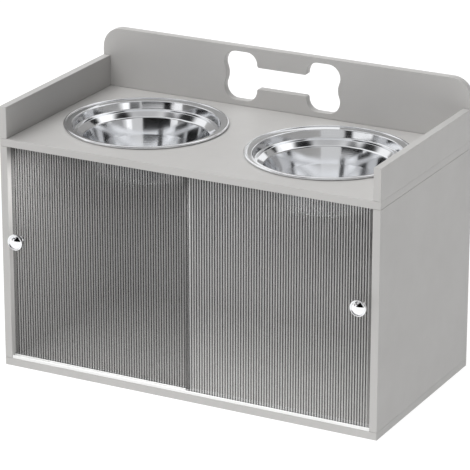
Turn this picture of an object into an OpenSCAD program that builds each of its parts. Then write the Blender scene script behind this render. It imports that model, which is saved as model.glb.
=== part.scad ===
// Double pet bowl: a low cabinet with two reeded sliding doors. Two steel bowls
// hang by their rims in round holes in its top, between side guards and a back
// rail with a bone-shaped cut-out.
// Millimetres. X runs to the right, Y to the back and Z up. The origin is the
// centre of the cabinet's footprint, on the floor. Doors are closed, bowls in.

/* [Cabinet] */
// Overall width of the boards
cabinet_w = 620; // [500:1:760]
// Overall depth of the boards, front to back
cabinet_d = 320; // [260:1:420]
// Thickness of every board
board_t = 12; // [11:0.5:16]
// Height of the side panels, between the bottom and top boards
side_h = 336; // [260:1:500]
// Thickness of the back panel
back_t = 5; // [3:0.5:6]
// Distance from the boards' rear edges to the back panel
back_inset = 3; // [2:0.5:5]
// Depth of the grooves that hold the back panel
back_groove = 4; // [2:0.5:5]

/* [Guards and rail] */
// Height of the side guards above the top board
guard_h = 49; // [40:1:70]
// Height of the back rail above the top board
rail_h = 94; // [85:1:140]
// Radius of the rail's two top corners
rail_corner_r = 32; // [5:1:40]

/* [Bone cut-out] */
// Overall length of the bone
bone_l = 195.4; // [180:0.2:240]
// Overall height of the bone
bone_h = 77; // [70:1:82]
// Height of the bone's shaft
bone_shaft_h = 33.2; // [20:0.2:36]
// Length of the shaft, between the flanks of the knuckles
bone_shaft_l = 84; // [60:1:90]
// Radius of each knuckle's shoulder beside the shaft
knuckle_inner_r = 18; // [14:0.5:20]
// Radius of each knuckle's shoulder at the end of the bone
knuckle_outer_r = 20; // [16:0.5:22]
// Depth of the dip in each end of the bone
bone_dip = 3.7; // [2:0.1:6]
// Radius of the corners where the shaft meets the knuckles
bone_corner_r = 3.8; // [0.5:0.1:5]

/* [Bowls] */
// Distance from a bowl's rim to the guard beside it
bowl_side_gap = 22; // [8:0.5:30]
// Least distance between the rims of the two bowls
bowl_middle_gap = 55; // [20:1:100]
// Least distance from a bowl's rim to the back rail
bowl_rail_gap = 22; // [10:0.5:50]
// Depth inside the bowl, below the top board's upper face
bowl_depth = 70; // [45:1:90]
// Thickness of the bowl's sheet steel
bowl_sheet = 0.9; // [0.6:0.1:1.4]
// Radius of the roll round the rim
rim_roll_r = 2; // [1.5:0.1:3]
// Width of the flange, from the middle of the roll to the mouth
flange_w = 11; // [9:0.5:14]
// Height that the flange falls from the roll to the mouth
flange_fall = 1.35; // [0.5:0.05:1.5]
// Depth of the upright band below the mouth
upper_band_h = 12.4; // [8:0.2:16]
// Distance that the upright band leans in
upper_band_in = 2.4; // [1:0.2:5]
// Width of the stacking ledge below the upright band
ledge_w = 5.1; // [2:0.1:6]
// Height that the stacking ledge falls
ledge_fall = 1.2; // [0.5:0.1:2]
// Width of the slanted band below the ledge
slant_w = 8.5; // [5:0.5:11]
// Height of the slanted band
slant_h = 7.3; // [4:0.1:10]
// Distance that the lower wall draws in, from the slanted band to the foot
lower_wall_in = 14; // [8:1:22]
// Radius of the bend between the lower wall and the flat foot
foot_bend_r = 9; // [5:0.5:12]
// Free width round each bowl in its hole
bowl_hole_gap = 1.6; // [0.8:0.1:2.5]

/* [Doors] */
// Thickness of a door's flat back sheet
door_sheet = 2.6; // [1.8:0.1:2.8]
// Height of the reeds on a door's front
reed_h = 0.6; // [0.4:0.1:1]
// Distance between two reeds
reed_pitch = 4.25; // [3.5:0.05:6]
// Width of the flat valley between two reeds
reed_valley = 0.3; // [0.1:0.05:0.6]
// Width of the plain strip down each edge of a door
door_margin = 5; // [3:0.5:8]
// Distance that each door laps past the middle of the cabinet
door_lap = 1.5; // [1:0.5:10]
// Distance that a door's upper edge reaches into its groove
door_bite = 3.2; // [2:0.1:4]
// Depth of the door grooves in the top board
door_groove_h = 7; // [6.5:0.1:8]

/* [Track] */
// Width of each channel of the track
channel_w = 4.6; // [4.2:0.1:5.2]
// Thickness of the track's three lips
lip_t = 2; // [1.2:0.1:2.6]
// Height of the lips above the bottom board
lip_h = 4.6; // [3:0.1:4.8]
// Thickness of the track's floor
track_floor = 1; // [0.8:0.1:1.4]
// Distance that the track stands back from the boards' front edges
track_setback = 0.5; // [0.1:0.1:2]

/* [Knobs] */
// Diameter of a knob's head
knob_d = 25; // [18:0.5:26]
// Height of a knob from the door to the ring round its face
knob_h = 18; // [14:0.5:24]
// Thickness of the head at its edge
knob_head_t = 4; // [3:0.5:6]
// Width of the raised ring round the knob's face
knob_ring_w = 1.8; // [1:0.1:3]
// Depth of the groove inside the ring
knob_ring_h = 0.9; // [0.4:0.1:1.5]
// Rise of the dome inside the ring
knob_dome_h = 3.4; // [1:0.1:5]
// Diameter of the knob's neck
knob_neck_d = 7.5; // [7:0.5:12]
// Diameter of the knob's foot on the door
knob_foot_d = 10.5; // [10:0.5:16]
// Thickness of the foot
knob_foot_t = 2; // [1:0.5:3]
// Distance from the side panel to the edge of a closed door's knob
knob_edge_gap = 1.9; // [1.5:0.1:10]
// Height of the knobs' centres above the floor
knob_z = 202.6; // [120:0.2:240]

/* [Fixings] */
// Diameter of the wood screws
screw_d = 4; // [3:0.5:4.5]
// Length of the wood screws
screw_l = 34; // [25:1:38]
// Diameter of the wood screws' countersunk heads
screw_head_d = 8; // [6.5:0.5:9]
// Diameter of the wooden dowels
dowel_d = 6; // [5:0.5:7]
// Length of a dowel in each board that it enters through the face
dowel_face_l = 8; // [6:0.5:9]
// Length of a dowel in each board that it enters through the edge
dowel_edge_l = 16; // [10:0.5:20]
// Diameter of the cam locks
cam_d = 12; // [11:0.5:14]
// Length of the cam locks, across the side panel
cam_l = 9; // [8:0.25:9.5]
// Distance from the side panel's top to the cam lock's centre
cam_drop = 24; // [18:0.5:30]
// Diameter of the cam bolt's shank
cam_bolt_d = 4.5; // [4:0.25:5]
// Diameter of the cam bolt's thread and of its head
cam_bolt_head_d = 5.8; // [5.2:0.2:6.2]
// Depth of the cam bolt's thread in the top board
cam_thread_l = 8.5; // [6:0.5:9]
// Diameter of the knob screws
knob_screw_d = 4; // [3:0.5:4.5]
// Depth of a knob screw's thread in the knob
knob_thread_l = 9; // [6:0.5:10]
// Diameter of a knob screw's head
knob_screw_head_d = 7.4; // [6:0.2:8.4]
// Height of a knob screw's head
knob_screw_head_h = 1.8; // [1:0.1:2]
// Diameter of the washer under a knob screw's head
washer_d = 10; // [9:0.5:12]
// Thickness of that washer
washer_t = 0.6; // [0.4:0.1:0.8]

/* [Clearances] */
// Gap between a door or bowl and what it rests on
seat_gap = 0.3; // [0.2:0.05:0.4]
// Gap all round a pin, screw or panel in its hole or groove
fit_gap = 0.15; // [0.1:0.05:0.2]
// Gap between a closed door and the side panel, and at each end of the track
end_gap = 0.5; // [0.3:0.1:1]

/* [Hidden] */
$fn = 96;

// How far a cutting shape runs past the face that it opens
overrun = 1;

// Levels, from the floor up
side_z = board_t;
top_z = side_z + side_h;
tray_z = top_z + board_t;

// Half sizes, and the inner faces of the side panels
half_w = cabinet_w / 2;
half_d = cabinet_d / 2;
inner_x = half_w - board_t;
panel_mid_x = half_w - board_t / 2;
rail_front_y = half_d - board_t;
rail_mid_y = half_d - board_t / 2;

// Places of the fixings along the depth and width, as shares of each
dowel_share = 0.4;
cam_share = 0.25;
base_screw_shares = [-0.3, 0, 0.3];
guard_screw_shares = [-0.32, 0.32];
rail_screw_inset_share = 0.08;
rail_screw_spare_share = 0.14;

// Bowls, as large as the cabinet's width and depth both allow
bowl_r = min((2 * inner_x - 2 * bowl_side_gap - bowl_middle_gap) / 4, rail_front_y - bowl_rail_gap);
bowl_x = inner_x - bowl_side_gap - bowl_r;
roll_x = bowl_r - rim_roll_r;
roll_z = seat_gap + rim_roll_r;
mouth_r = roll_x - flange_w;
mouth_z = roll_z + bowl_sheet / 2 - flange_fall;
bowl_hole_r = mouth_r + bowl_sheet + bowl_hole_gap;
mouth_bend_r = bowl_sheet * 2;
ledge_bend_r = bowl_sheet * 2.5;
waist_bend_r = bowl_sheet * 6;
belly_bend_r = bowl_depth * 1.2;
bend_steps = 6;
roll_steps = 24;

// Track, doors and the grooves that guide them
front_channel_y = -half_d + track_setback + lip_t + channel_w / 2;
channel_step = channel_w + lip_t;
rear_channel_y = front_channel_y + channel_step;
track_d = 3 * lip_t + 2 * channel_w;
track_l = 2 * (inner_x - end_gap);
door_t = door_sheet + reed_h;
left_door_back_y = rear_channel_y + door_t / 2;
right_door_back_y = front_channel_y + door_t / 2;
door_w = inner_x - end_gap + door_lap;
door_bottom_z = side_z + track_floor + seat_gap;
door_top_z = top_z + door_bite;
reed_count = floor((door_w - 2 * door_margin) / reed_pitch);
reed_step = (door_w - 2 * door_margin) / reed_count;
reed_half_w = (reed_step - reed_valley) / 2;
reed_r = (reed_half_w * reed_half_w + reed_h * reed_h) / (2 * reed_h);

// Knobs
knob_r = knob_d / 2;
knob_x = inner_x - knob_edge_gap - knob_r;
knob_ring_r = knob_r - knob_ring_w;
knob_dome_base_r = knob_ring_r - knob_ring_h / 2;
knob_dome_r = (pow(knob_dome_base_r, 2) + pow(knob_dome_h, 2)) / (2 * knob_dome_h);
knob_dome_turn = asin(knob_dome_base_r / knob_dome_r);

// Colours
board_grey = [0.76, 0.75, 0.74];
steel = [0.82, 0.83, 0.85];
clear_plastic = [0.72, 0.75, 0.76, 0.45];
white_plastic = [0.96, 0.96, 0.96];
raw_wood = [0.80, 0.66, 0.46];
zinc = [0.62, 0.63, 0.64];

// Directions and corners of a bent section
function toward(a, b) = (b - a) / norm(b - a);
function left_of(u) = [-u[1], u[0]];

// Corner p of the path a, p, b once both of its edges are moved left by d
function moved_corner(a, p, b, d) =
    let (n = left_of(toward(a, p)), m = left_of(toward(p, b)))
    p + d * (n + m) / (1 + n * m);

// Corner p of the path a, p, b, rounded to radius r
function bend(a, p, b, r) =
    let (
        u = toward(p, a),
        w = toward(p, b),
        half = acos(u * w) / 2,
        c = p + toward([0, 0], u + w) * r / sin(half),
        s = p + u * r / tan(half) - c,
        e = p + w * r / tan(half) - c,
        start = atan2(s[1], s[0]),
        turn = (atan2(e[1], e[0]) - start + 540) % 360 - 180
    )
    [for (i = [0:bend_steps]) c + r * [cos(start + turn * i / bend_steps), sin(start + turn * i / bend_steps)]];

// A path with its corners rounded: each point is [radius out, height, bend radius]
function flat(p) = [p[0], p[1]];
function bent_path(points) = [
    flat(points[0]),
    for (i = [1:len(points) - 2])
        each bend(flat(points[i - 1]), flat(points[i]), flat(points[i + 1]), points[i][2]),
    flat(points[len(points) - 1])
];

// The same path moved left by d, with each bend kept round the same centre
function moved_path(points, d) = [
    let (n = left_of(toward(flat(points[0]), flat(points[1])))) concat(flat(points[0]) + d * n, [0]),
    for (i = [1:len(points) - 2])
        let (
            a = flat(points[i - 1]),
            p = flat(points[i]),
            b = flat(points[i + 1]),
            side = left_of(p - a) * (b - p) > 0 ? -1 : 1
        )
        concat(moved_corner(a, p, b, d), [points[i][2] + side * d]),
    let (
        z = len(points) - 1,
        n = left_of(toward(flat(points[z - 1]), flat(points[z])))
    )
    concat(flat(points[z]) + d * n, [0])
];

module board(size, at) {
    translate(at) cube(size);
}

// A copy on each side of the middle, the second one mirrored
module both_sides() {
    children();
    mirror([1, 0, 0]) children();
}

// Fixings along the top of the right-hand side panel, at shares of the depth
module at_depth_shares(shares, z) {
    for (share = shares)
        translate([panel_mid_x, share * cabinet_d, z]) children();
}

// A countersunk wood screw with its head's face at z = 0, pointing up
module wood_screw(gap, clear) {
    head_h = (screw_head_d - screw_d) / 2;
    translate([0, 0, -clear]) cylinder(h = clear, d = screw_head_d + 2 * gap);
    cylinder(h = head_h, d1 = screw_head_d + 2 * gap, d2 = screw_d + 2 * gap);
    cylinder(h = screw_l - screw_d + gap, d = screw_d + 2 * gap);
    translate([0, 0, screw_l - screw_d + gap]) cylinder(h = screw_d, d1 = screw_d + 2 * gap, d2 = 0);
}

// The same screw with a cross in its head
module driven_screw() {
    slot_w = screw_head_d / 8;
    slot_l = screw_head_d / 2;
    difference() {
        wood_screw(0, 0);
        for (turn = [0, 90])
            rotate([0, 0, turn])
                translate([-slot_l / 2, -slot_w / 2, -overrun])
                    cube([slot_l, slot_w, overrun + slot_w]);
    }
}

module at_base_screws() {
    both_sides() at_depth_shares(base_screw_shares, fit_gap) children();
}

module at_guard_screws() {
    both_sides() at_depth_shares(guard_screw_shares, top_z + fit_gap) children();
}

module at_rail_screws() {
    inner = bone_l / 2 + rail_screw_spare_share * bone_l;
    outer = half_w - rail_screw_inset_share * cabinet_w;
    both_sides()
        for (x = [inner, outer])
            translate([x, rail_mid_y, top_z + fit_gap]) children();
}

// Dowels: two at each end of each side panel, and one from each guard into the rail
module dowels(gap) {
    d = dowel_d + 2 * gap;
    l = dowel_face_l + dowel_edge_l + 2 * gap;
    both_sides() {
        at_depth_shares([-dowel_share, dowel_share], side_z - dowel_face_l - gap) cylinder(h = l, d = d);
        at_depth_shares([-dowel_share, dowel_share], top_z - dowel_edge_l - gap) cylinder(h = l, d = d);
        translate([panel_mid_x, rail_front_y + dowel_face_l + gap, tray_z + guard_h / 2])
            rotate([90, 0, 0]) cylinder(h = l, d = d);
    }
}

// Cam locks in the side panels' inner faces, and the bolts that they pull down
module at_cams() {
    both_sides() at_depth_shares([-cam_share, cam_share], top_z) children();
}

module cam_bore() {
    depth = cam_l + 2 * fit_gap;
    translate([-board_t / 2 - overrun, 0, -cam_drop])
        rotate([0, 90, 0]) cylinder(h = depth + overrun, d = cam_d + 2 * fit_gap);
    translate([0, 0, -cam_drop]) cylinder(h = cam_drop + overrun, d = cam_bolt_head_d + 4 * fit_gap);
}

module cam_lock() {
    slot_w = cam_d / 8;
    slot_l = cam_d / 2;
    difference() {
        translate([-board_t / 2 + fit_gap, 0, -cam_drop]) rotate([0, 90, 0]) cylinder(h = cam_l, d = cam_d);
        translate([0, 0, -cam_drop - cam_bolt_head_d / 2])
            cylinder(h = cam_d, d = cam_bolt_head_d + 4 * fit_gap);
        for (turn = [0, 90])
            translate([-board_t / 2, 0, -cam_drop])
                rotate([turn, 0, 0])
                    translate([0, -slot_w / 2, -slot_l / 2])
                        cube([slot_w, slot_w, slot_l]);
    }
}

module cam_bolt() {
    head_h = cam_bolt_head_d / 2;
    rotate_extrude()
        polygon([
            [0, -cam_drop - head_h / 2],
            [cam_bolt_head_d / 2, -cam_drop - head_h / 4],
            [cam_bolt_head_d / 2, -cam_drop + head_h / 4],
            [cam_bolt_d / 3, -cam_drop + head_h / 2],
            [cam_bolt_d / 3, -cam_drop + head_h * 2],
            [cam_bolt_d / 2, -cam_drop + head_h * 2],
            [cam_bolt_d / 2, 0],
            [cam_bolt_head_d / 2, 0],
            [cam_bolt_head_d / 2, cam_thread_l],
            [0, cam_thread_l]
        ]);
}

module bottom_board() {
    groove_w = back_t + 2 * fit_gap;
    groove_l = 2 * (inner_x + back_groove);
    color(board_grey)
        difference() {
            board([cabinet_w, cabinet_d, board_t], [-half_w, -half_d, 0]);
            board(
                [groove_l, groove_w, back_groove + overrun],
                [-groove_l / 2, half_d - back_inset - groove_w, board_t - back_groove]
            );
            at_base_screws() wood_screw(fit_gap, overrun);
            dowels(fit_gap);
        }
}

// The right-hand side panel, which the left-hand one mirrors
module side_panel() {
    groove_w = back_t + 2 * fit_gap;
    difference() {
        board([board_t, cabinet_d, side_h], [inner_x, -half_d, side_z]);
        board(
            [back_groove + overrun, groove_w, side_h + 2 * overrun],
            [inner_x - overrun, half_d - back_inset - groove_w, side_z - overrun]
        );
        at_base_screws() wood_screw(fit_gap, overrun);
        dowels(fit_gap);
        at_depth_shares([-cam_share, cam_share], top_z) cam_bore();
    }
}

module left_side_panel() {
    color(board_grey) mirror([1, 0, 0]) side_panel();
}

module right_side_panel() {
    color(board_grey) side_panel();
}

module back_panel() {
    w = 2 * (inner_x + back_groove - fit_gap);
    bottom = side_z - back_groove + fit_gap;
    color(board_grey)
        board([w, back_t, top_z - fit_gap - bottom], [-w / 2, half_d - back_inset - fit_gap - back_t, bottom]);
}

module top_board() {
    color(board_grey)
        difference() {
            board([cabinet_w, cabinet_d, board_t], [-half_w, -half_d, top_z]);
            both_sides()
                translate([bowl_x, 0, top_z - overrun])
                    cylinder(h = board_t + 2 * overrun, r = bowl_hole_r, $fn = 180);
            for (y = [front_channel_y, rear_channel_y])
                board([2 * inner_x, channel_w, door_groove_h + overrun], [-inner_x, y - channel_w / 2, top_z - overrun]);
            at_guard_screws() wood_screw(fit_gap, overrun);
            at_rail_screws() wood_screw(fit_gap, overrun);
            dowels(fit_gap);
            at_cams() cylinder(h = cam_thread_l + fit_gap, d = cam_bolt_head_d + 2 * fit_gap);
        }
}

// The right-hand guard, which the left-hand one mirrors
module guard() {
    difference() {
        board([board_t, cabinet_d - board_t, guard_h], [inner_x, -half_d, tray_z]);
        at_guard_screws() wood_screw(fit_gap, 0);
        dowels(fit_gap);
    }
}

module left_guard() {
    color(board_grey) mirror([1, 0, 0]) guard();
}

module right_guard() {
    color(board_grey) guard();
}

// Half of the bone's outline, from the middle to its right-hand end
module half_bone() {
    end_x = bone_l / 2;
    flank_x = bone_shaft_l / 2;
    inner_at = [flank_x + knuckle_inner_r, bone_h / 2 - knuckle_inner_r];
    outer_at = [end_x - knuckle_outer_r, bone_h / 2 - knuckle_outer_r];
    shoulder = knuckle_outer_r - bone_dip;
    dip_r = (pow(shoulder, 2) + pow(outer_at[1], 2) - pow(knuckle_outer_r, 2)) / (2 * bone_dip);
    dip_x = end_x - bone_dip + dip_r;
    corner_r = min(bone_corner_r, inner_at[1] - bone_shaft_h / 2);
    difference() {
        union() {
            translate([0, -bone_shaft_h / 2]) square([inner_at[0], bone_shaft_h]);
            translate([flank_x, -inner_at[1]]) square([knuckle_inner_r, 2 * inner_at[1]]);
            translate([inner_at[0], -bone_h / 2]) square([outer_at[0] - inner_at[0], bone_h]);
            polygon([outer_at, [dip_x, 0], [outer_at[0], -outer_at[1]]]);
            for (side = [-1, 1]) {
                translate([inner_at[0], side * inner_at[1]]) circle(r = knuckle_inner_r);
                translate([outer_at[0], side * outer_at[1]]) circle(r = knuckle_outer_r);
            }
            for (flip = [0, 1])
                mirror([0, flip])
                    translate([flank_x - corner_r, bone_shaft_h / 2])
                        difference() {
                            square(corner_r);
                            translate([0, corner_r]) circle(r = corner_r);
                        }
        }
        translate([dip_x, 0]) circle(r = dip_r);
    }
}

module rail_outline() {
    square([cabinet_w, rail_h - rail_corner_r]);
    translate([rail_corner_r, 0]) square([cabinet_w - 2 * rail_corner_r, rail_h]);
    for (x = [rail_corner_r, cabinet_w - rail_corner_r])
        translate([x, rail_h - rail_corner_r]) circle(r = rail_corner_r);
}

module back_rail() {
    color(board_grey)
        difference() {
            translate([0, half_d, tray_z])
                rotate([90, 0, 0])
                    linear_extrude(height = board_t)
                        difference() {
                            translate([-half_w, 0]) rail_outline();
                            translate([0, rail_h / 2]) {
                                half_bone();
                                mirror([1, 0]) half_bone();
                            }
                        }
            at_rail_screws() wood_screw(fit_gap, 0);
            dowels(fit_gap);
        }
}

// A spun bowl: one bent sheet, from the middle of its foot to the roll round its rim
module bowl() {
    ledge_x = mouth_r - upper_band_in;
    ledge_z = mouth_z - upper_band_h;
    slant_x = ledge_x - ledge_w;
    slant_z = ledge_z - ledge_fall;
    waist_x = slant_x - slant_w;
    waist_z = slant_z - slant_h;
    foot_x = waist_x - lower_wall_in;
    belly_x = waist_x - lower_wall_in / 3;
    belly_z = (2 * waist_z - 3 * bowl_depth) / 5;
    inside = [
        [0, -bowl_depth, 0],
        [foot_x, -bowl_depth, foot_bend_r],
        [belly_x, belly_z, belly_bend_r / 2],
        [waist_x, waist_z, waist_bend_r],
        [slant_x, slant_z, ledge_bend_r],
        [ledge_x, ledge_z, ledge_bend_r],
        [mouth_r, mouth_z, mouth_bend_r],
        [roll_x - rim_roll_r, roll_z + bowl_sheet / 2, 0]
    ];
    outside = moved_path(inside, -bowl_sheet);
    meet = asin(bowl_sheet / 2 / rim_roll_r);
    roll = [
        for (i = [0:roll_steps])
            let (a = 180 - meet - (360 - 2 * meet) * i / roll_steps)
            [roll_x + rim_roll_r * cos(a), roll_z + rim_roll_r * sin(a)]
    ];
    under = bent_path(outside);
    rotate_extrude($fn = 180)
        polygon(concat(bent_path(inside), roll, [for (i = [len(under) - 1:-1:0]) under[i]]));
}

module left_bowl() {
    color(steel) translate([-bowl_x, 0, tray_z]) bowl();
}

module right_bowl() {
    color(steel) translate([bowl_x, 0, tray_z]) bowl();
}

// Cross-section of a door, with its back on y = 0 and its reeds towards -y
module door_section() {
    translate([0, -door_sheet]) square([door_w, door_sheet]);
    for (x = [0, door_w - door_margin])
        translate([x, -door_t]) square([door_margin, door_t]);
    intersection() {
        translate([door_margin, -door_t]) square([door_w - 2 * door_margin, door_t]);
        for (i = [0:reed_count - 1])
            translate([door_margin + reed_step * (i + 1 / 2), reed_r - door_t]) circle(r = reed_r, $fn = 48);
    }
}

// A door whose back face is at y and whose left edge is at x, with a hole for its knob
module door(x, y, hole_x) {
    difference() {
        translate([x, y, door_bottom_z])
            linear_extrude(height = door_top_z - door_bottom_z) door_section();
        translate([hole_x, y + overrun, knob_z])
            rotate([90, 0, 0]) cylinder(h = door_t + 2 * overrun, d = knob_screw_d + 2 * fit_gap);
    }
}

module left_door() {
    color(clear_plastic) door(-inner_x + end_gap, left_door_back_y, -knob_x);
}

module right_door() {
    color(clear_plastic) door(-door_lap, right_door_back_y, knob_x);
}

// A turned knob with its foot on z = 0 and its face up, bored for its screw
module knob() {
    head_z = knob_h - knob_head_t;
    edge_r = knob_head_t / 4;
    neck_r = knob_neck_d / 2;
    flare = knob_r - neck_r;
    dome_z = knob_h - knob_ring_h + knob_dome_h - knob_dome_r;
    difference() {
        rotate_extrude()
            polygon([
                [0, 0],
                [knob_foot_d / 2, 0],
                [knob_foot_d / 2, knob_foot_t / 2],
                [knob_foot_d / 2 - knob_foot_t / 2, knob_foot_t],
                [neck_r, knob_foot_t + knob_foot_t / 2],
                for (i = [0:bend_steps])
                    let (a = 90 * i / bend_steps)
                    [neck_r + flare * (1 - cos(a)), head_z - flare * (1 - sin(a)) / 2],
                [knob_r, head_z + edge_r],
                for (i = [0:bend_steps])
                    let (a = 90 * i / bend_steps)
                    [knob_r - edge_r * (1 - cos(a)), knob_h - edge_r * (1 - sin(a))],
                [knob_ring_r, knob_h],
                for (i = [0:bend_steps])
                    let (a = knob_dome_turn * (1 - i / bend_steps))
                    [knob_dome_r * sin(a), dome_z + knob_dome_r * cos(a)]
            ]);
        translate([0, 0, -overrun]) cylinder(h = knob_thread_l + fit_gap + overrun, d = knob_screw_d + 2 * fit_gap);
    }
}

// Places a turned piece on a door: its z = 0 on the face at y, and its axis to the front
module on_door(x, y) {
    translate([x, y, knob_z]) rotate([90, 0, 0]) children();
}

module left_knob() {
    color(steel) on_door(-knob_x, left_door_back_y - door_t) knob();
}

module right_knob() {
    color(steel) on_door(knob_x, right_door_back_y - door_t) knob();
}

// A pan-head screw with its head behind the washer, which lies on the door's back
module knob_screw() {
    round_r = knob_screw_head_h / 2;
    slot_w = knob_screw_head_d / 8;
    slot_l = knob_screw_head_d / 2;
    difference() {
        union() {
            translate([0, 0, -washer_t - round_r])
                cylinder(h = knob_screw_head_h - round_r, d = knob_screw_head_d);
            translate([0, 0, -washer_t - knob_screw_head_h])
                cylinder(h = round_r, d1 = knob_screw_head_d - 2 * round_r, d2 = knob_screw_head_d);
            translate([0, 0, -washer_t]) cylinder(h = washer_t + door_t + knob_thread_l, d = knob_screw_d);
        }
        for (turn = [0, 90])
            rotate([0, 0, turn])
                translate([-slot_l / 2, -slot_w / 2, -washer_t - knob_screw_head_h - overrun])
                    cube([slot_l, slot_w, overrun + round_r]);
    }
}

module left_knob_screw() {
    color(zinc) on_door(-knob_x, left_door_back_y) knob_screw();
}

module right_knob_screw() {
    color(zinc) on_door(knob_x, right_door_back_y) knob_screw();
}

module knob_washer() {
    translate([0, 0, -washer_t])
        difference() {
            cylinder(h = washer_t, d = washer_d);
            translate([0, 0, -overrun]) cylinder(h = washer_t + 2 * overrun, d = knob_screw_d + 2 * fit_gap);
        }
}

module left_knob_washer() {
    color(white_plastic) on_door(-knob_x, left_door_back_y) knob_washer();
}

module right_knob_washer() {
    color(white_plastic) on_door(knob_x, right_door_back_y) knob_washer();
}

// The plastic track: a floor with three lips, one door channel on each side of the middle lip
module bottom_track() {
    color(white_plastic)
        translate([-track_l / 2, -half_d + track_setback, side_z])
            rotate([90, 0, 90])
                linear_extrude(height = track_l) {
                    square([track_d, track_floor]);
                    for (i = [0:2])
                        translate([i * channel_step, 0]) square([lip_t, lip_h]);
                }
}

module base_screws() {
    color(zinc) at_base_screws() driven_screw();
}

module guard_screws() {
    color(zinc) at_guard_screws() driven_screw();
}

module rail_screws() {
    color(zinc) at_rail_screws() driven_screw();
}

module wood_dowels() {
    color(raw_wood) dowels(0);
}

module cam_locks() {
    color(zinc) at_cams() cam_lock();
}

module cam_bolts() {
    color(zinc) at_cams() cam_bolt();
}

bottom_board();
left_side_panel();
right_side_panel();
back_panel();
top_board();
left_guard();
right_guard();
back_rail();
left_bowl();
right_bowl();
left_door();
right_door();
left_knob();
right_knob();
left_knob_screw();
right_knob_screw();
left_knob_washer();
right_knob_washer();
bottom_track();
base_screws();
guard_screws();
rail_screws();
wood_dowels();
cam_locks();
cam_bolts();
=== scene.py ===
"""Looks of the double pet bowl. Metres, X to the right, Y to the back, Z up.

The boards, doors, track and fixings are the CAD nodes with procedural materials. The bowls and
knobs are lathed pieces with rounder bends, which replace the CAD solids. The bowls' lower walls
are nearly straight here, and up to 3 mm further in than the solids' bulged ones.
"""

import math

import bpy
from mathutils import Matrix, Vector


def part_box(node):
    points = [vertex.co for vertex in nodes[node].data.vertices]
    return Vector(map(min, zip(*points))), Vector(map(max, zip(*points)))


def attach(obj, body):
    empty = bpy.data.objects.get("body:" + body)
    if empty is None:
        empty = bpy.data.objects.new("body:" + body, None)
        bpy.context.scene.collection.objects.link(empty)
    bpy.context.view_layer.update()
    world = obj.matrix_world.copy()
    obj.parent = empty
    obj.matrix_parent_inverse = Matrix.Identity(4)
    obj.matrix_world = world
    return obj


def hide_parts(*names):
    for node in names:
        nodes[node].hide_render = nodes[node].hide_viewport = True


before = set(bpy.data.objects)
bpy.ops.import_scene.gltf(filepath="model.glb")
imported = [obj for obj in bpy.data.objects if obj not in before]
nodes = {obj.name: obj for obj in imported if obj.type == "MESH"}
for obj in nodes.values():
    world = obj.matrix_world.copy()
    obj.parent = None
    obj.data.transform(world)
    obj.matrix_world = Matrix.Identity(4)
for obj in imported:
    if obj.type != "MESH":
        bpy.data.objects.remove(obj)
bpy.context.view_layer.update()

SIDES = (("left", -1), ("right", 1))
BOARDS = (
    "bottom_board", "left_side_panel", "right_side_panel", "back_panel",
    "top_board", "left_guard", "right_guard", "back_rail",
)
FIXINGS = ("base_screws", "guard_screws", "rail_screws", "cam_locks", "cam_bolts")
BOARD_BEVEL = 0.0008
TRACK_BEVEL = 0.0003

# The bowls' sizes from the rim to the foot, as in the CAD source but for the lower wall's bulge
TRAY_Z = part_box("top_board")[1].z
BOWL_X = 0.15175
BOWL_R = 0.12425
BOWL_DEPTH = 0.070
SHEET = 0.0009
SEAT_GAP = 0.0003
ROLL_R = 0.002
FLANGE_W, FLANGE_FALL = 0.011, 0.00135
BAND_IN, BAND_H = 0.0024, 0.0124
LEDGE_W, LEDGE_FALL = 0.0051, 0.0012
SLANT_W, SLANT_H = 0.0085, 0.0073
LOWER_WALL_IN = 0.014
LOWER_WALL_BULGE = 0.0004
MOUTH_BEND_R = SHEET * 2
LEDGE_BEND_R = SHEET * 2.5
WAIST_BEND_R = SHEET * 6
BELLY_BEND_R = BOWL_DEPTH * 0.6
FOOT_BEND_R = 0.009
BOWL_STEPS = 256

# The knobs' sizes, as in the CAD source but for the foot's rounder edges
KNOB_R = 0.0125
KNOB_H = 0.018
KNOB_HEAD_T = 0.004
KNOB_NECK_R = 0.00375
KNOB_RING_W = 0.0018
KNOB_RING_H = 0.0009
KNOB_DOME_H = 0.0034
KNOB_EDGE_R = 0.001
KNOB_FOOT = (
    (0, 0), (0.00485, 0), (0.00525, 0.0004), (0.00525, 0.0011),
    (0.0048, 0.0018), (0.00425, 0.0021), (KNOB_NECK_R, 0.0030),
)
KNOB_STEPS = 96


# Meshes

def arc_corner(a, p, b, r, steps):
    """Points of corner p of the path a, p, b, rounded to radius r."""
    u = (a - p).normalized()
    w = (b - p).normalized()
    half = u.angle(w) / 2
    centre = p + (u + w).normalized() * r / math.sin(half)
    start = p + u * r / math.tan(half) - centre
    end = p + w * r / math.tan(half) - centre
    turn = start.angle_signed(end)
    points = []
    for i in range(steps + 1):
        t = -turn * i / steps
        c, s = math.cos(t), math.sin(t)
        points.append(centre + Vector((c * start.x - s * start.y, s * start.x + c * start.y)))
    return points


def rounded(path, steps=12):
    """A section path whose points are (radius, height, bend radius), with its bends made round."""
    flat = [Vector((x, z)) for x, z, _ in path]
    points = [flat[0]]
    for i in range(1, len(path) - 1):
        bend = path[i][2]
        if bend > 0:
            points += arc_corner(flat[i - 1], flat[i], flat[i + 1], bend, steps)
        else:
            points.append(flat[i])
    return points + [flat[-1]]


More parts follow.
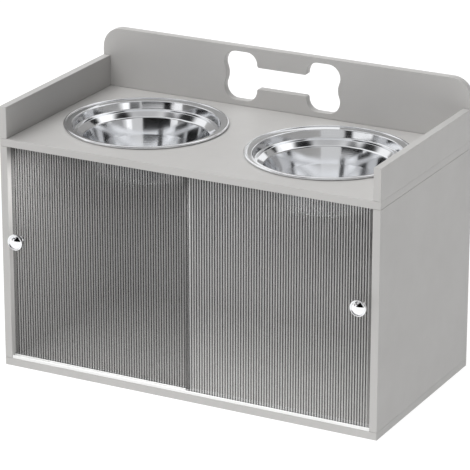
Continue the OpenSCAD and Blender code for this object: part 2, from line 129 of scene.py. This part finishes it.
def moved(path, d):
    """The same path moved to its left by d, with each bend round the same centre."""
    flat = [Vector((x, z)) for x, z, _ in path]

    def left(a, b):
        u = (b - a).normalized()
        return Vector((-u.y, u.x))

    out = []
    for i, p in enumerate(flat):
        if i == 0 or i == len(flat) - 1:
            n = left(flat[0], flat[1]) if i == 0 else left(flat[-2], flat[-1])
            q, r = p + d * n, 0
        else:
            n, m = left(flat[i - 1], p), left(p, flat[i + 1])
            q = p + d * (n + m) / (1 + n.dot(m))
            side = -1 if n.dot(flat[i + 1] - p) > 0 else 1
            r = path[i][2] + side * d
        out.append((q.x, q.y, r))
    return out


def place_mesh(name, verts, faces):
    """A new object of that mesh, in the scene."""
    mesh = bpy.data.meshes.new(name)
    mesh.from_pydata(verts, [], faces)
    mesh.update()
    obj = bpy.data.objects.new(name, mesh)
    bpy.context.scene.collection.objects.link(obj)
    return obj


def lathe(name, section, steps, sharp_deg):
    """A closed solid of revolution about Z; the section runs from the axis round to the axis.

    Edges sharper than sharp_deg stay sharp in the shading.
    """
    verts, rings = [], []
    for p in section:
        if p.x < 1e-6:
            rings.append([len(verts)])
            verts.append((0, 0, p.y))
            continue
        rings.append(list(range(len(verts), len(verts) + steps)))
        for k in range(steps):
            a = 2 * math.pi * k / steps
            verts.append((p.x * math.cos(a), p.x * math.sin(a), p.y))
    faces = []
    for a, b in zip(rings, rings[1:]):
        for k in range(steps):
            j = (k + 1) % steps
            if len(a) == 1:
                faces.append((a[0], b[j], b[k]))
            elif len(b) == 1:
                faces.append((a[k], a[j], b[0]))
            else:
                faces.append((a[k], a[j], b[j], b[k]))
    obj = place_mesh(name, verts, faces)
    obj.data.shade_smooth()
    obj.data.set_sharp_from_angle(angle=math.radians(sharp_deg))
    return obj


def bowl_section():
    """A bowl's bent sheet, from the middle of its foot inside to the middle of its foot below."""
    roll_x = BOWL_R - ROLL_R
    roll_z = SEAT_GAP + ROLL_R
    mouth = Vector((roll_x - FLANGE_W, roll_z + SHEET / 2 - FLANGE_FALL))
    ledge = mouth - Vector((BAND_IN, BAND_H))
    slant = ledge - Vector((LEDGE_W, LEDGE_FALL))
    waist = slant - Vector((SLANT_W, SLANT_H))
    foot_x = waist.x - LOWER_WALL_IN
    belly_x = (waist.x + foot_x) / 2 + LOWER_WALL_BULGE
    belly_z = (waist.y - BOWL_DEPTH) / 2
    inside = [
        (0, -BOWL_DEPTH, 0),
        (foot_x, -BOWL_DEPTH, FOOT_BEND_R),
        (belly_x, belly_z, BELLY_BEND_R),
        (waist.x, waist.y, WAIST_BEND_R),
        (slant.x, slant.y, LEDGE_BEND_R),
        (ledge.x, ledge.y, LEDGE_BEND_R),
        (mouth.x, mouth.y, MOUTH_BEND_R),
        (roll_x - ROLL_R, roll_z + SHEET / 2, 0),
    ]
    meet = math.asin(SHEET / 2 / ROLL_R)
    steps = 32
    roll = []
    for i in range(steps + 1):
        a = math.pi - meet - (2 * math.pi - 2 * meet) * i / steps
        roll.append(Vector((roll_x + ROLL_R * math.cos(a), roll_z + ROLL_R * math.sin(a))))
    return rounded(inside) + roll + rounded(moved(inside, -SHEET))[::-1]


def knob_section():
    """A turned knob: foot, neck, flared back of the head, rim ring and domed face."""
    section = [Vector(point) for point in KNOB_FOOT]

    # Flare, from the neck out to the head
    head_z = KNOB_H - KNOB_HEAD_T
    flare = KNOB_R - KNOB_NECK_R
    steps = 12
    for i in range(1, steps + 1):
        a = math.pi / 2 * i / steps
        out, up = 1 - math.cos(a), 1 - math.sin(a)
        section.append(Vector((KNOB_NECK_R + flare * out, head_z - flare / 2 * up)))

    # Side of the head, and its rounded front edge
    section.append(Vector((KNOB_R, head_z + KNOB_EDGE_R)))
    section.append(Vector((KNOB_R, KNOB_H - KNOB_EDGE_R - 0.0004)))
    steps = 8
    for i in range(steps + 1):
        a = math.pi / 2 * i / steps
        back, down = KNOB_EDGE_R * (1 - math.cos(a)), KNOB_EDGE_R * (1 - math.sin(a))
        section.append(Vector((KNOB_R - back, KNOB_H - down)))

    # Inner edge of the ring, and the dome inside it
    ring_r = KNOB_R - KNOB_RING_W
    section += [Vector((ring_r + 0.0003, KNOB_H - 0.0001)), Vector((ring_r, KNOB_H - 0.0004))]
    base_r, base_z = ring_r - 0.00045, KNOB_H - KNOB_RING_H
    dome_r = (base_r ** 2 + KNOB_DOME_H ** 2) / (2 * KNOB_DOME_H)
    turn = math.asin(base_r / dome_r)
    top_z = base_z + KNOB_DOME_H
    steps = 24
    for i in range(steps + 1):
        a = turn * (1 - i / steps)
        section.append(Vector((dome_r * math.sin(a), top_z + dome_r * (math.cos(a) - 1))))
    return section


def soften(obj, width):
    """Rounds a CAD node's edges a little, so that they catch the light."""
    obj.modifiers.new("weld", "WELD").merge_threshold = 0.00001
    merge = obj.modifiers.new("merge", "DECIMATE")
    merge.decimate_type = "DISSOLVE"
    merge.angle_limit = math.radians(0.5)
    edge = obj.modifiers.new("edge", "BEVEL")
    edge.width = width
    edge.segments = 2
    edge.limit_method = "ANGLE"
    edge.angle_limit = math.radians(50)
    edge.harden_normals = True
    edge.use_clamp_overlap = False


# Nodes

def add(tree, kind, **settings):
    """A node of that kind; settings name its sockets or its properties."""
    node = tree.nodes.new(kind)
    for key, value in settings.items():
        if hasattr(node, key):
            setattr(node, key, value)
        else:
            node.inputs[key.replace("_", " ")].default_value = value
    return node


def feed(tree, node, **outputs):
    """Links other nodes' outputs to the node's sockets of those names."""
    for key, output in outputs.items():
        tree.links.new(output, node.inputs[key.replace("_", " ")])


def maths(tree, operation, *values):
    """The result of a Math node; each value is a number or another node's output."""
    node = add(tree, "ShaderNodeMath", operation=operation)
    for socket, value in zip(node.inputs, values):
        if isinstance(value, (int, float)):
            socket.default_value = value
        else:
            tree.links.new(value, socket)
    return node.outputs[0]


def ramp(tree, factor, stops):
    """A colour or grey value along the factor; the stops are (place, value)."""
    node = add(tree, "ShaderNodeValToRGB")
    while len(node.color_ramp.elements) < len(stops):
        node.color_ramp.elements.new(0.5)
    for element, (at, value) in zip(node.color_ramp.elements, stops):
        element.position = at
        element.color = (*value, 1) if isinstance(value, tuple) else (value, value, value, 1)
    feed(tree, node, Fac=factor)
    return node.outputs["Color"]


# The part of its range that a noise spends nearly all its time in
NOISE_LOW, NOISE_HIGH = 0.3, 0.7


def noise(tree, scale, detail, stretch=(1, 1, 1)):
    """A noise in object coordinates, in features per metre."""
    place = add(tree, "ShaderNodeTexCoord")
    mapping = add(tree, "ShaderNodeMapping", Scale=stretch)
    feed(tree, mapping, Vector=place.outputs["Object"])
    tex = add(tree, "ShaderNodeTexNoise", Scale=scale, Detail=detail)
    feed(tree, tex, Vector=mapping.outputs["Vector"])
    return tex.outputs["Fac"]


def between(tree, factor, low, high):
    """A value that runs from low to high with a noise."""
    node = add(
        tree, "ShaderNodeMapRange",
        From_Min=NOISE_LOW, From_Max=NOISE_HIGH, To_Min=low, To_Max=high,
    )
    feed(tree, node, Value=factor)
    return node.outputs["Result"]


def tint(tree, factor, low, high):
    """A colour that runs from low to high with a noise."""
    return ramp(tree, factor, ((NOISE_LOW, low), (NOISE_HIGH, high)))


def bump(tree, shader, height, distance, strength):
    node = add(tree, "ShaderNodeBump", Distance=distance, Strength=strength)
    feed(tree, node, Height=height)
    feed(tree, shader, Normal=node.outputs["Normal"])


# Materials

def material(name, **values):
    """A material with its Principled shader's sockets set; returns it with its nodes and shader."""
    mat = bpy.data.materials.new(name)
    mat.use_nodes = True
    tree = mat.node_tree
    shader = tree.nodes["Principled BSDF"]
    for socket, value in values.items():
        shader.inputs[socket.replace("_", " ")].default_value = value
    return mat, tree, shader


def board_material():
    """Light warm-grey lacquer on board: fine orange peel, faint cloudiness and uneven sheen."""
    mat, tree, shader = material("grey_lacquer")
    feed(
        tree, shader,
        Base_Color=tint(tree, noise(tree, 9, 3), (0.490, 0.482, 0.472), (0.515, 0.507, 0.497)),
        Roughness=between(tree, noise(tree, 40, 3), 0.40, 0.50),
    )
    bump(tree, shader, noise(tree, 900, 2), 0.00004, 0.5)
    return mat


def steel_material():
    """Polished spun steel: fine rings from the spinning, and faint smudges in the polish."""
    mat, tree, shader = material(
        "polished_steel", Base_Color=(0.83, 0.84, 0.86, 1), Metallic=1.0
    )
    place = add(tree, "ShaderNodeTexCoord")
    rings = add(
        tree, "ShaderNodeTexWave", wave_type="RINGS", rings_direction="Z",
        Scale=420, Distortion=0.6, Detail=2,
    )
    feed(tree, rings, Vector=place.outputs["Object"])
    feed(tree, shader, Roughness=between(tree, noise(tree, 30, 4), 0.08, 0.12))
    bump(tree, shader, rings.outputs["Fac"], 0.000004, 0.35)
    return mat


def chrome_material():
    """Bright plated knob with faint handling marks."""
    mat, tree, shader = material("knob_chrome", Base_Color=(0.87, 0.875, 0.89, 1), Metallic=1.0)
    feed(tree, shader, Roughness=between(tree, noise(tree, 160, 4), 0.03, 0.09))
    return mat


def acrylic_material(name, painted_highlight_share, painted_shade, white, clear):
    """Reeded acrylic with light and shade painted by the reeds' slope: on each reed the left flank
    is tinted dark as painted shade, the crest is clear, and the right flank is milky white as a
    painted highlight.

    The arguments after the name give the right flank's opaque share, then the colours of the left
    flank (painted shade), the right flank (painted highlight) and the crest.
    """
    mat, tree, shader = material(name, IOR=1.3)
    # The surface's sideways slope: 0.5 when flat, less on a reed's left flank, more on its right
    split = add(tree, "ShaderNodeSeparateXYZ")
    feed(tree, split, Vector=add(tree, "ShaderNodeTexCoord").outputs["Normal"])
    slope = maths(tree, "MULTIPLY_ADD", split.outputs["X"], 0.5, 0.5)
    # Painted shade and highlight: dark on each reed's left flank, white and partly opaque on its
    # right
    painted_stripe_stops = ((0.30, painted_shade / 4), (0.48, painted_shade), (0.52, clear), (0.58, clear), (0.62, white))
    feed(
        tree, shader,
        Base_Color=ramp(tree, slope, painted_stripe_stops),
        Transmission_Weight=ramp(tree, slope, ((0.60, 1.0), (0.63, 1.0 - painted_highlight_share))),
        Roughness=between(tree, noise(tree, 60, 3, (1, 1, 0.15)), 0.02, 0.06),
    )
    bump(tree, shader, noise(tree, 150, 2, (1, 1, 0.05)), 0.00001, 0.4)
    return mat


def plastic_material():
    """White extruded track with faint die lines along its length."""
    mat, tree, shader = material("white_plastic")
    feed(
        tree, shader,
        Base_Color=tint(tree, noise(tree, 30, 3), (0.86, 0.86, 0.855), (0.90, 0.90, 0.895)),
        Roughness=between(tree, noise(tree, 300, 2, (0.02, 1, 1)), 0.24, 0.36),
    )
    bump(tree, shader, noise(tree, 2500, 2, (0.01, 1, 1)), 0.00002, 0.4)
    return mat


def zinc_material():
    """Zinc-plated steel, slightly dull, with a grain."""
    mat, tree, shader = material("zinc_plate", Metallic=1.0)
    feed(
        tree, shader,
        Base_Color=tint(tree, noise(tree, 700, 4), (0.46, 0.47, 0.48), (0.60, 0.61, 0.62)),
        Roughness=between(tree, noise(tree, 1200, 3), 0.28, 0.42),
    )
    bump(tree, shader, noise(tree, 3000, 2), 0.00002, 0.5)
    return mat


def beech_material():
    """Fluted beech dowels, with the grain along them."""
    mat, tree, shader = material("beech", Roughness=0.7)
    grain = noise(tree, 500, 5, (1, 1, 0.08))
    feed(tree, shader, Base_Color=tint(tree, grain, (0.46, 0.30, 0.17), (0.66, 0.48, 0.31)))
    bump(tree, shader, noise(tree, 900, 4, (1, 1, 0.06)), 0.0001, 0.5)
    return mat


def nylon_material():
    """Plain white nylon washers."""
    mat, tree, shader = material("nylon", Subsurface_Weight=0.1)
    feed(
        tree, shader,
        Base_Color=tint(tree, noise(tree, 400, 3), (0.78, 0.78, 0.76), (0.85, 0.85, 0.83)),
        Roughness=between(tree, noise(tree, 900, 2), 0.45, 0.6),
    )
    return mat


def floor_material():
    """A white light table, which glows evenly under a thin matt sheet."""
    mat, tree, shader = material(
        "pale_floor", Roughness=0.9, Emission_Color=(1, 1, 1, 1), Emission_Strength=0.93
    )
    cloud = noise(tree, 2, 2)
    feed(tree, shader, Base_Color=tint(tree, cloud, (0.14, 0.14, 0.14), (0.16, 0.16, 0.16)))
    return mat


def card_material():
    """Matt black card."""
    black = (0.004, 0.004, 0.004, 1)
    return material("black_card", Base_Color=black, Roughness=1.0, Specular_IOR_Level=0.0)[0]


def dress(obj, mat):
    obj.data.materials.clear()
    obj.data.materials.append(mat)


# The object

lacquer, steel = board_material(), steel_material()
chrome, zinc = chrome_material(), zinc_material()
# Lit and shaded copies of one plastic: the rear door's is darker throughout, as painted shade for
# its place deeper in the cabinet; both paint light and shade onto the reeds
acrylic = {
    "left": acrylic_material("rear_acrylic_painted_shade", painted_highlight_share=0.40, painted_shade=0.04, white=0.60, clear=0.74),
    "right": acrylic_material("front_acrylic_painted_light", painted_highlight_share=0.55, painted_shade=0.10, white=0.75, clear=0.90),
}

for name in BOARDS:
    dress(nodes[name], lacquer)
    soften(nodes[name], BOARD_BEVEL)
for name in FIXINGS:
    dress(nodes[name], zinc)
dress(nodes["wood_dowels"], beech_material())
dress(nodes["bottom_track"], plastic_material())
soften(nodes["bottom_track"], TRACK_BEVEL)

nylon = nylon_material()
for side, sign in SIDES:
    # The doors let light through, which a shadow of theirs would block
    dress(nodes[f"{side}_door"], acrylic[side])
    nodes[f"{side}_door"].visible_shadow = False
    dress(nodes[f"{side}_knob_screw"], zinc)
    dress(nodes[f"{side}_knob_washer"], nylon)

    bowl = lathe(f"{side}_bowl_spun", bowl_section(), BOWL_STEPS, 35)
    bowl.location = (sign * BOWL_X, 0, TRAY_Z)
    dress(bowl, steel)
    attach(bowl, f"{side}_bowl_body")
    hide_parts(f"{side}_bowl")

    low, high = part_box(f"{side}_knob")
    foot_at = ((low.x + high.x) / 2, high.y, (low.z + high.z) / 2)
    knob = lathe(f"{side}_knob_turned", knob_section(), KNOB_STEPS, 50)
    knob.matrix_world = Matrix.Translation(foot_at) @ Matrix.Rotation(math.pi / 2, 4, "X")
    dress(knob, chrome)
    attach(knob, f"{side}_door_body")
    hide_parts(f"{side}_knob")


# Floor, and black cards that only mirror reflections see: one before the left bowl and each knob.
# They are placed for the photograph's view.

FLOOR_SIZE = 60
bpy.ops.mesh.primitive_plane_add(size=FLOOR_SIZE, location=(0, 0, 0))
floor = bpy.context.object
floor.name = "floor"
dress(floor, floor_material())

BOWL_CARD_LOW, BOWL_CARD_HIGH = 0.435, 0.675
KNOB_CARD_Y = -0.33
# Its corners' X and Z from the middle of the knob
KNOB_CARD = ((-0.10, 0), (0.15, 0), (0.02, 0.16))
cards = {
    "bowl_card": [
        (-0.36, -0.60, BOWL_CARD_LOW), (0.16, -0.42, BOWL_CARD_LOW),
        (0.16, -0.42, BOWL_CARD_HIGH), (-0.36, -0.60, BOWL_CARD_HIGH),
    ],
}
for side, _ in SIDES:
    low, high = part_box(f"{side}_knob")
    x, z = (low.x + high.x) / 2, (low.z + high.z) / 2
    cards[f"{side}_knob_card"] = [(x + dx, KNOB_CARD_Y, z + dz) for dx, dz in KNOB_CARD]
black = card_material()
for name, corners in cards.items():
    card = place_mesh(name, corners, [tuple(range(len(corners)))])
    card.visible_camera = card.visible_diffuse = False
    card.visible_shadow = card.visible_transmission = False
    dress(card, black)


# Light: each panel is a window in the sky, in degrees, with azimuth 0 on +X and 90 on +Y, as
# (azimuth, height) of its middle, half its width and height, softness of its edges, radiance

# What matt surfaces see, and what is seen through the doors
SOFT_BASE = 0.42
SOFT_PANELS = (
    ((-90, 42), (44, 14), (30, 16), 2.4),
    ((-130, 70), (95, 24), (70, 30), 4.2),
    ((0, 20), (64, 60), (44, 30), 0.20),
)
# What mirror reflections see, above all the polished metal's; a later panel covers an earlier one
FLAG_BASE = 1.3
FLAG_PANELS = (
    # Towards the camera, for the walls that face it
    ((-62, 42), (50, 15), (20, 10), 0.47),
    ((-62, 9), (36, 4), (30, 3), 0.85),
    ((-62, 3), (30, 3), (26, 2), 0.45),
    ((-62, 19), (46, 10), (40, 8), 0.80),
    ((-122, 22), (12, 6), (12, 6), 0.03),
    ((0, 26), (34, 10), (20, 8), 0.04),
    # Low down, for the bowls' upper bands
    ((-94, 3), (6, 5), (6, 3), 0.02),
    ((-43, 3), (8, 5), (5, 3), 0.03),
    ((-29, 4), (5, 9), (4, 4), 1.6),
    ((-6, 4), (13, 9), (10, 4), 0.40),
    ((32, 3), (5, 8), (5, 5), 0.35),
    ((-139, 8), (6, 9), (5, 5), 0.30),
    # High up, for the bowls' slanted bands
    ((-168, 52), (16, 9), (14, 8), 0.01),
    ((-142, 65), (14, 8), (16, 8), 0.15),
    ((47, 55), (11, 8), (5, 5), 1.7),
    ((29, 38), (14, 7), (6, 6), 1.6),
    ((-62, 60), (50, 8), (20, 8), 0.80),
    ((0, 90), (400, 18), (16, 16), 0.60),
    ((18, 66), (20, 8), (14, 8), 0.02),
    ((68, 35), (9, 10), (5, 5), 0.01),
)
# What the camera sees behind the object
BACKDROP = 1.05


def span(tree, value, middle, half, soft):
    """1 within half of the middle, falling to 0 over soft."""
    node = add(
        tree, "ShaderNodeMapRange", interpolation_type="SMOOTHSTEP",
        From_Min=half - soft / 2, From_Max=half + soft / 2 + 1e-4, To_Min=1, To_Max=0,
    )
    feed(tree, node, Value=maths(tree, "ABSOLUTE", maths(tree, "SUBTRACT", value, middle)))
    return node.outputs["Result"]


def layered(tree, azimuth, height, base, panels):
    """A background of the base radiance, mixed towards each panel's inside its window."""
    light = base
    for (at_az, at_el), (half_az, half_el), (soft_az, soft_el), radiance in panels:
        away = maths(tree, "WRAP", maths(tree, "SUBTRACT", azimuth, at_az), 180, -180)
        inside = maths(
            tree, "MULTIPLY",
            span(tree, away, 0, half_az, soft_az), span(tree, height, at_el, half_el, soft_el),
        )
        change = maths(tree, "MULTIPLY", inside, maths(tree, "SUBTRACT", radiance, light))
        light = maths(tree, "ADD", light, change)
    node = add(tree, "ShaderNodeBackground")
    feed(tree, node, Strength=light)
    return node.outputs[0]


def mixed(tree, factor, a, b):
    node = add(tree, "ShaderNodeMixShader")
    for socket, output in zip(node.inputs, (factor, a, b)):
        tree.links.new(output, socket)
    return node.outputs[0]


def studio():
    """A world that differs by ray: the camera's meet a plain white backdrop, mirrored ones flags
    and panels, and all others a soft light.
    """
    world = bpy.data.worlds.new("studio")
    world.use_nodes = True
    tree = world.node_tree
    tree.nodes.clear()

    split = add(tree, "ShaderNodeSeparateXYZ")
    feed(tree, split, Vector=add(tree, "ShaderNodeTexCoord").outputs["Generated"])
    x, y, z = split.outputs
    degrees = 180 / math.pi
    azimuth = maths(tree, "MULTIPLY", maths(tree, "ARCTAN2", y, x), degrees)
    sine = maths(tree, "MINIMUM", maths(tree, "MAXIMUM", z, -1), 1)
    height = maths(tree, "MULTIPLY", maths(tree, "ARCSINE", sine), degrees)

    path = add(tree, "ShaderNodeLightPath")
    outside = maths(tree, "SUBTRACT", 1, path.outputs["Is Transmission Ray"])
    mirrored = maths(tree, "MULTIPLY", path.outputs["Is Glossy Ray"], outside)
    soft = layered(tree, azimuth, height, SOFT_BASE, SOFT_PANELS)
    flags = layered(tree, azimuth, height, FLAG_BASE, FLAG_PANELS)
    plain = add(tree, "ShaderNodeBackground", Color=(1, 1, 1, 1), Strength=BACKDROP)
    lit = mixed(tree, mirrored, soft, flags)
    out = add(tree, "ShaderNodeOutputWorld")
    feed(tree, out, Surface=mixed(tree, path.outputs["Is Camera Ray"], lit, plain.outputs[0]))
    return world


scene = bpy.context.scene
scene.world = studio()
scene.view_settings.view_transform = "Standard"
scene.view_settings.look = "None"

# Soft lights that brighten the inside of the cabinet, behind the top edge of each door
GLOW_X, GLOW_Y, GLOW_DROP, GLOW_TILT = 0.145, -0.133, 0.022, math.radians(-4)
GLOW_LENGTH, GLOW_WIDTH, GLOW_WATTS = 0.2, 0.012, 0.6
glow_data = bpy.data.lights.new("cabinet_glow", "AREA")
glow_data.shape = "RECTANGLE"
glow_data.size = GLOW_LENGTH
glow_data.size_y = GLOW_WIDTH
glow_data.energy = GLOW_WATTS
for side, sign in SIDES:
    glow = bpy.data.objects.new(f"{side}_cabinet_glow", glow_data)
    scene.collection.objects.link(glow)
    glow_at = Matrix.Translation((sign * GLOW_X, GLOW_Y, TRAY_Z - GLOW_DROP))
    glow.matrix_world = glow_at @ Matrix.Rotation(GLOW_TILT, 4, "X")
    glow.visible_camera = glow.visible_glossy = glow.visible_transmission = False


# Camera, fitted to the photograph's board corners, with no shift

CAMERA_AT = (1.94120, -3.71013, 1.71876)
YAW, PITCH, ROLL = 0.48242, 0.34607, 0.00079
FOCAL_PX, FRAME_PX, SENSOR = 2984.9, 470, 36.0
camera_data = bpy.data.cameras.new("camera")
camera_data.sensor_fit = "HORIZONTAL"
camera_data.sensor_width = SENSOR
camera_data.lens = FOCAL_PX * SENSOR / FRAME_PX
camera_data.clip_end = 100
camera = bpy.data.objects.new("camera", camera_data)
scene.collection.objects.link(camera)
camera.matrix_world = (
    Matrix.Translation(CAMERA_AT)
    @ Matrix.Rotation(YAW, 4, "Z")
    @ Matrix.Rotation(math.pi / 2 - PITCH, 4, "X")
    @ Matrix.Rotation(ROLL, 4, "Z")
)
scene.camera = camera
